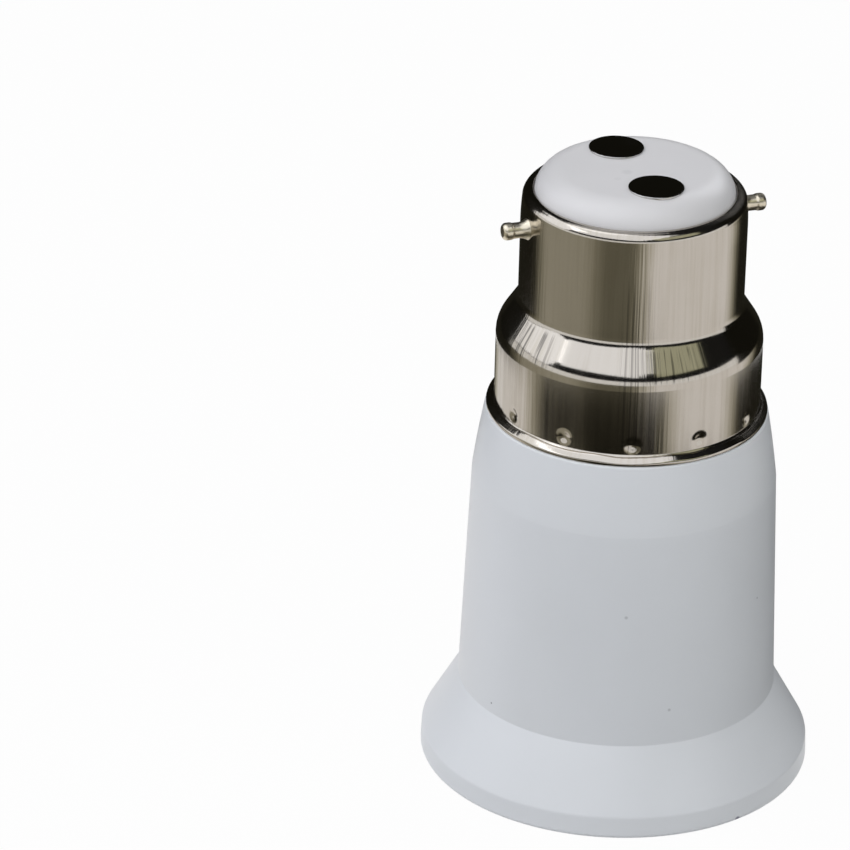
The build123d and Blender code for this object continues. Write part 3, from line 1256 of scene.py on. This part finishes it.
@dataclass
class SocketEnd:
    """What fastens the shell and meets the lamp's tip: two rivets and the sprung centre strip."""

    shank_radius: float = 0.9
    head_radius: float = 1.5
    head_thickness: float = 0.5
    head_dome: float = 0.2
    head_bevel: float = 0.12
    head_bulge: float = 0.08
    head_steps: int = 6
    head_round: float = 0.1
    head_edge: float = 0.08
    fillet: float = 0.05
    rivet_turns: int = 60
    strip_width: float = 4.4
    strip_thickness: float = 0.4
    strip_bend: float = 1.0
    strip_root: float = 0.6
    strip_reach: float = 2.6
    strip_tip: float = 1.2
    strip_curl: float = 0.7
    strip_drop: float = 3.0
    edge_round: float = 0.08
    sharp_angle: float = 1.0

    def build(self) -> list[bpy.types.Object]:
        """Makes the rivets and the strip.

        Returns:
            The pieces.
        """
        return [self._rivet("shell_rivet"), self._rivet("centre_rivet"), self._strip()]

    def _rivet(self, node: str) -> bpy.types.Object:
        """Turns one rivet.

        Args:
            node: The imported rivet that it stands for.

        Returns:
            The piece.
        """
        low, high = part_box(node)
        foot, top = low.z / MM, high.z / MM
        outline = Outline(closed=False)
        outline.to(0, foot)
        flat = self.head_radius - self.head_bevel
        outline.bow_to(flat, foot + self.head_dome, -self.head_bulge, self.head_round, self.head_steps)
        outline.to(self.head_radius, foot + self.head_thickness, self.head_edge)
        outline.to(self.shank_radius, foot + self.head_thickness, self.fillet)
        outline.to(self.shank_radius, top - self.head_thickness, self.fillet)
        outline.to(self.head_radius, top - self.head_thickness, self.head_edge)
        outline.to(flat, top - self.head_dome, self.head_round)
        outline.to(0, top)
        form = Turned(outline, self.rivet_turns)
        form.place(Matrix.Translation((0, (low.y + high.y) / 2, 0)))
        return make_piece(f"{node}_head", form.mesh, RIVET_NICKEL, "rivet_nickel", node)

    def _strip(self) -> bpy.types.Object:
        """Bends the centre strip.

        Returns:
            The piece.
        """
        low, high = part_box("centre_contact")
        level = high.z / MM - self.strip_thickness / 2
        line = Outline(closed=False)
        line.to(high.y / MM, level)
        line.to(self.strip_root, level, self.strip_bend)
        line.to(-self.strip_reach, high.z / MM - self.strip_drop, self.strip_bend)
        line.to(-self.strip_reach - self.strip_tip, high.z / MM - self.strip_drop + self.strip_curl)
        mesh = bmesh.new()
        half = self.strip_width / 2 * MM
        row = [mesh.verts.new((-half, p.x * MM, p.y * MM)) for p in line.points()]
        edges = [mesh.edges.new(pair) for pair in zip(row, row[1:])]
        far = verts_of(bmesh.ops.extrude_edge_only(mesh, edges=edges)["geom"])
        bmesh.ops.translate(mesh, verts=far, vec=(2 * half, 0, 0))
        bmesh.ops.recalc_face_normals(mesh, faces=mesh.faces)
        bmesh.ops.solidify(mesh, geom=mesh.faces[:], thickness=self.strip_thickness * MM)
        bmesh.ops.recalc_face_normals(mesh, faces=mesh.faces)
        middle = (low.z + high.z) / 2
        shift = middle - (min(v.co.z for v in mesh.verts) + max(v.co.z for v in mesh.verts)) / 2
        bmesh.ops.translate(mesh, verts=mesh.verts, vec=(0, 0, shift))
        sharp = [edge for edge in mesh.edges if edge.calc_face_angle(0) > self.sharp_angle]
        bmesh.ops.bevel(
            mesh, geom=sharp, offset=self.edge_round * MM, offset_type="OFFSET", affect="EDGES", segments=2,
            profile=0.5, material=-1,
        )
        return make_piece("centre_strip", mesh, LEAF_BRASS, "leaf_brass", "centre_contact")


@dataclass(frozen=True)
class Lamp:
    """A soft box: where it stands round the object, its size, its strength and whether metal mirrors it."""

    name: str
    azimuth: float
    elevation: float
    distance: float
    width: float
    height: float
    power: float
    tint: Colour = (0.97, 0.985, 1.03)
    mirrored: bool = True


class ReflectionGlow(Enum):
    """How bright a card glows, which sets the painted reflection that shiny pieces show."""

    WHITE = 0.9
    GREY = 0.38
    SLATE = 0.16
    BLACK = 0.015


@dataclass(frozen=True)
class ReflectionCard:
    """A card on the floor that glows in set tones, where an upright wall of the object mirrors it, that only
    shiny pieces see: a painted reflection on that wall.

    The wall has a radius and reaches from one height to another. Each strip is a glow tone and where it
    ends, in degrees to the right of the camera on the wall. The strips fade into each other.
    """

    name: str
    radius: float
    low: float
    high: float
    strips: tuple[tuple[ReflectionGlow, float], ...]
    fade: float = 14.0
    reach: int = 90
    step: int = 2

    def light(self, facing: float) -> float:
        """Gives the glow, and so the painted reflection, for a place on the wall.

        Args:
            facing: Degrees to the right of the camera.

        Returns:
            The lightness, from 0 to 1.
        """
        light = self.strips[0][0].value
        for (before, end), (after, _) in zip(self.strips, self.strips[1:]):
            share = smooth_step(end - self.fade / 2, end + self.fade / 2, facing)
            light += (after.value - before.value) * share
        return light


@dataclass
class Studio:
    """The plain floor, the soft boxes, the glowing cards and flag that paint reflections on shiny pieces,
    and the camera.
    """

    TONE = "tone"  # name of a card's own tones
    WHITE = (1.0, 1.0, 1.0, 1.0)
    GREEN = (0.92, 0.06)  # a card's green as a share of its lightness: where it is dark, and what light adds
    BLUE = (0.62, 0.37)  # its blue in the same way

    view_azimuth: float = math.radians(-19)
    view_elevation: float = math.radians(26.35)
    view_roll: float = math.radians(1.4)
    focal: float = 254.12
    eye: tuple[float, float, float] = (18.93, 32.0, 605.1)
    ambient: float = 0.012
    floor_white: float = 0.6
    floor_glow: float = 0.97
    floor_reach: float = 20.0
    backdrop_height: float = 4.0
    flag_reach: float = 0.33
    flag_height: float = 0.34
    flag_span: tuple[float, float] = (100.0, 243.0)
    flag_light: float = 0.008
    flag_foot: float = 0.001
    flag_steps: int = 48
    card_height: float = 0.4
    floor_turns: int = 96
    lamps: tuple[Lamp, ...] = (
        Lamp("left_box", -99.3, 37.0, 0.62, 0.62, 0.46, 1.25),
        Lamp("front_box", -28.0, 62.0, 0.62, 0.84, 0.7, 2.3),
        Lamp("right_box", 47.0, 42.0, 0.62, 0.44, 0.26, 0.18, (1.0, 1.0, 0.72)),
        Lamp("low_left_box", -38.0, 34.0, 0.62, 0.7, 0.3, 0.84, mirrored=False),
        Lamp("low_right_box", 56.0, 26.0, 0.62, 0.5, 0.3, 0.82, mirrored=False),
        Lamp("top_box", -140.0, 74.0, 0.7, 0.5, 0.4, 0.35),
        Lamp("rear_box", 150.0, 30.0, 0.9, 0.5, 0.3, 2.0),
    )
    # Glowing cards that only shiny pieces see: their tones are painted reflections on the cap's upright
    # walls.
    cards: tuple[ReflectionCard, ...] = (
        ReflectionCard(
            "foot_reflection_card", 13.05, 6.4, 36.0,
            ((ReflectionGlow.WHITE, -40.0), (ReflectionGlow.GREY, -20.0), (ReflectionGlow.BLACK, 90.0)),
        ),
        ReflectionCard(
            "collar_reflection_card", 13.05, 36.0, 46.7,
            ((ReflectionGlow.BLACK, -80.0), (ReflectionGlow.WHITE, -45.0), (ReflectionGlow.BLACK, 18.0), (ReflectionGlow.WHITE, 50.0),
             (ReflectionGlow.BLACK, 90.0)),
        ),
        ReflectionCard(
            "barrel_reflection_card", 11.0, 47.7, 400.0,
            ((ReflectionGlow.BLACK, -55.0), (ReflectionGlow.GREY, -20.0), (ReflectionGlow.SLATE, 5.0), (ReflectionGlow.WHITE, 60.0),
             (ReflectionGlow.BLACK, 90.0)),
        ),
    )

    def build(self) -> None:
        """Makes the whole studio."""
        self._world()
        self._floor()
        for lamp in self.lamps:
            self._lamp(lamp)
        for card in self.cards:
            self._card(card)
        self._flag()
        self._camera()

    def _around(self, azimuth: float, elevation: float, distance: float) -> Vector:
        """Gives a place round the object.

        Args:
            azimuth: Degrees to the right of the camera, seen from the object.
            elevation: Degrees above the floor.
            distance: Metres from the object's foot.

        Returns:
            The place in metres.
        """
        turn = self.view_azimuth - math.pi / 2 + math.radians(azimuth)
        rise = math.radians(elevation)
        flat = math.cos(rise) * distance
        return Vector((math.cos(turn) * flat, math.sin(turn) * flat, math.sin(rise) * distance))

    def _world(self) -> None:
        """Makes the even grey surroundings."""
        world = bpy.data.worlds.new("surroundings")
        bpy.context.scene.world = world
        world.use_nodes = True
        board = Board(world.node_tree)
        light = board.add("ShaderNodeBackground", {}, {"Color": self.WHITE, "Strength": self.ambient})
        board.add("ShaderNodeOutputWorld", {}, {"Surface": light})

    def _floor(self) -> None:
        """Makes the white floor and its far backdrop, which show as white and keep the object's shadow."""
        sweep = Outline(closed=False)
        sweep.to(0, 0)
        sweep.to(self.floor_reach / MM, 0, self.backdrop_height / 2 / MM)
        sweep.to(self.floor_reach / MM, self.backdrop_height / MM)
        floor = self._stage_mesh("floor", Turned(sweep, self.floor_turns).mesh)
        paint, board = new_material("floor_white")
        path = board.add("ShaderNodeLightPath", {}, {}, "Is Camera Ray")
        rays = path.socket.node.outputs
        seen = path.most(Signal(board, rays["Is Glossy Ray"]))
        seen = seen.most(Signal(board, rays["Is Transmission Ray"]))
        matt = board.add("ShaderNodeBsdfDiffuse", {}, {"Color": (self.floor_white,) * 3 + (1.0,)})
        glow = board.add("ShaderNodeEmission", {}, {"Color": self.WHITE, "Strength": 1.0})
        mixed = board.add("ShaderNodeMixShader", {}, {0: seen * self.floor_glow, 1: matt, 2: glow})
        board.add("ShaderNodeOutputMaterial", {}, {"Surface": mixed})
        floor.data.materials.append(paint)

    @staticmethod
    def _stage_mesh(name: str, mesh: bmesh.types.BMesh) -> bpy.types.Object:
        """Makes an object of the stage.

        Args:
            name: Its name.
            mesh: Its shape, which is freed.

        Returns:
            The object.
        """
        made = mesh_object(name, mesh)
        return made

    def _card(self, card: ReflectionCard) -> None:
        """Lays a glowing card where a wall mirrors the floor towards the camera, to paint the reflection
        that the wall shows.

        Args:
            card: The wall and the strips that it mirrors.
        """
        mesh = bmesh.new()
        tint = mesh.verts.layers.float_color.new(self.TONE)
        rows = []
        for facing in range(-card.reach, card.reach + 1, card.step):
            row = []
            for height in (card.low, card.high):
                wall = self._around(facing, 0.0, card.radius * MM)
                place = wall + self._around(2 * facing, 0.0, height / math.tan(self.view_elevation) * MM)
                vert = mesh.verts.new((place.x, place.y, self.card_height * MM))
                vert[tint] = (*self._tone(card.light(facing)), 1.0)
                row.append(vert)
            rows.append(row)
        for one, other in zip(rows, rows[1:]):
            mesh.faces.new((one[0], one[1], other[1], other[0]))
        self._hide(self._stage_mesh(card.name, mesh))

    def _flag(self) -> None:
        """Stands a black flag behind the object that glows faintly, casts no shadow and only shiny pieces
        see: a painted dark reflection for the dark ends of its shiny pieces.
        """
        mesh = bmesh.new()
        tint = mesh.verts.layers.float_color.new(self.TONE)
        first, last = self.flag_span
        place = self._around(first, 0.0, self.flag_reach)
        row = [mesh.verts.new((place.x, place.y, height)) for height in (self.flag_foot, self.flag_height)]
        edge = mesh.edges.new(row)
        around = {"cent": (0, 0, 0), "axis": (0, 0, 1), "angle": math.radians(last - first)}
        bmesh.ops.spin(mesh, geom=[*row, edge], steps=self.flag_steps, **around)
        # A near-black glow: a painted dark reflection.
        for vert in mesh.verts:
            vert[tint] = (*self._tone(self.flag_light), 1.0)
        self._hide(self._stage_mesh("flag", mesh))

    def _hide(self, card: bpy.types.Object) -> None:
        """Makes a card glow in its own tones, a painted reflection, and hides it from all but shiny pieces.

        Args:
            card: The card.
        """
        paint, board = new_material(card.name)
        tone = board.add("ShaderNodeAttribute", {"attribute_name": self.TONE}, {}, "Color")
        # Emission in the card's tones: a painted reflection, seen only by shiny pieces.
        glow = board.add("ShaderNodeEmission", {}, {"Color": tone, "Strength": 1.0})
        board.add("ShaderNodeOutputMaterial", {}, {"Surface": glow})
        card.data.materials.append(paint)
        card.visible_camera = False
        card.visible_diffuse = False
        card.visible_shadow = False

    def _tone(self, light: float) -> Colour:
        """Gives a card's glow colour, the colour of its painted reflection, which is warmer where it is
        darker.
        """
        green, blue = (dark + gain * light for dark, gain in (self.GREEN, self.BLUE))
        return light, light * green, light * blue

    def _lamp(self, lamp: Lamp) -> None:
        """Hangs one soft box that faces the object.

        Args:
            lamp: Its place, size and strength.
        """
        data = bpy.data.lights.new(lamp.name, "AREA")
        data.shape = "RECTANGLE"
        data.size = lamp.width
        data.size_y = lamp.height
        data.energy = lamp.power
        data.color = lamp.tint
        made = add_object(lamp.name, data)
        made.location = self._around(lamp.azimuth, lamp.elevation, lamp.distance)
        made.rotation_euler = (-made.location).to_track_quat("-Z", "Y").to_euler()
        made.visible_glossy = lamp.mirrored

    def _camera(self) -> None:
        """Sets the camera at the photograph's angle."""
        right = Vector((1, 0, 0))
        down = Vector((0, -math.sin(self.view_elevation), -math.cos(self.view_elevation)))
        ahead = Vector((0, math.cos(self.view_elevation), -math.sin(self.view_elevation)))
        sway, tilt = math.cos(self.view_roll), math.sin(self.view_roll)
        across = right * sway - down * tilt
        below = right * tilt + down * sway
        eye = -(across * self.eye[0] + below * self.eye[1] + ahead * self.eye[2]) * MM
        turn = Matrix.Rotation(self.view_azimuth, 3, "Z")
        data = bpy.data.cameras.new("camera")
        data.lens = self.focal
        camera = add_object("camera", data)
        axes = Matrix((turn @ across, turn @ -below, turn @ -ahead)).transposed()
        camera.matrix_world = Matrix.Translation(turn @ eye) @ axes.to_4x4()
        bpy.context.scene.camera = camera


def dress_hidden_nodes() -> None:
    """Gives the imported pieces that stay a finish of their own."""
    for node, finish in (
        ("live_tag", TAG_BRASS),
        ("neutral_tag", TAG_BRASS),
        ("live_lead", LEAD_SLEEVE),
        ("neutral_lead", LEAD_SLEEVE),
    ):
        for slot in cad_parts[node].material_slots:
            slot.material = finish.material()
        LOG.info("%s: dressed", node)


def main() -> None:
    """Builds every piece, the stage and the camera."""
    logging.basicConfig(level=logging.INFO, format="%(name)s: %(message)s")
    bpy.context.scene.view_settings.view_transform = "Standard"
    for part in (Housing(), CapShell(), BayonetPins(), ContactPlug(), ScrewShell(), SocketEnd()):
        part.build()
    dress_hidden_nodes()
    Studio().build()
    bpy.context.view_layer.update()


if __name__ == "__main__":
    main()
